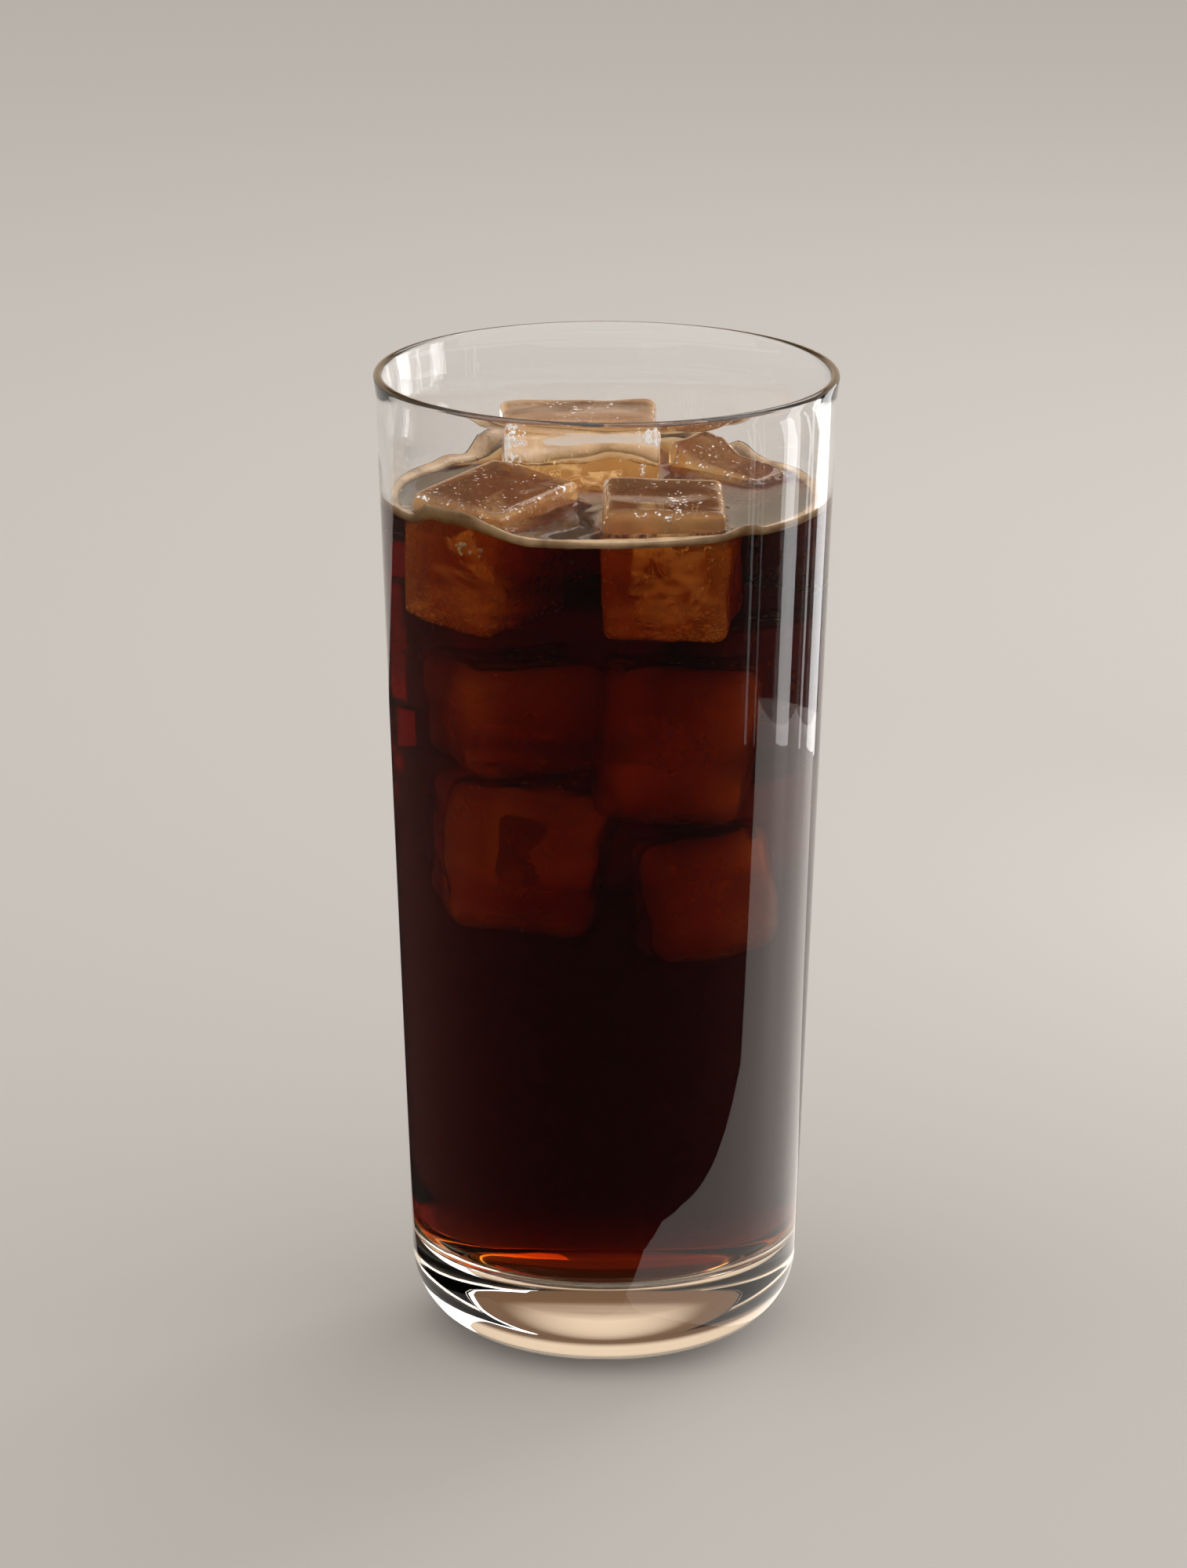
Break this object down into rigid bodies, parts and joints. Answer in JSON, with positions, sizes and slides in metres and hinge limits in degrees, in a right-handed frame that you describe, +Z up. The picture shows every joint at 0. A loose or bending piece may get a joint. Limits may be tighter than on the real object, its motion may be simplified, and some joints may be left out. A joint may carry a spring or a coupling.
{
  "type": "iced coffee",
  "caption": "Black iced coffee with clear melting ice in a tall, slightly tapered tumbler with a thick clear base; a drink served cold.",
  "frame": {"origin": "centre of the tumbler's foot, on the surface that it stands on", "axes": "+Z up along the tumbler's axis, -Y towards the side of the tumbler with the two low blocks of ice, +X to the right as seen from there"},
  "size_m": [0.07, 0.07, 0.151],
  "materials": {
    "clear_glass": "clear polished soda-lime glass with a fire-polished rim",
    "black_coffee": "wet and glossy, near black where deep and amber to red-brown where thin",
    "clear_ice": "wet clear ice with a few white cracks and bubbles",
    "coffee_foam": "thin tan foam of tiny bubbles"
  },
  "bodies": {
    "root": {"tumbler": "clear_glass", "coffee": "black_coffee", "ice_front_left": "clear_ice", "ice_front_right": "clear_ice", "ice_back": "clear_ice", "ice_back_right": "clear_ice"}
  },
  "joints": []
}
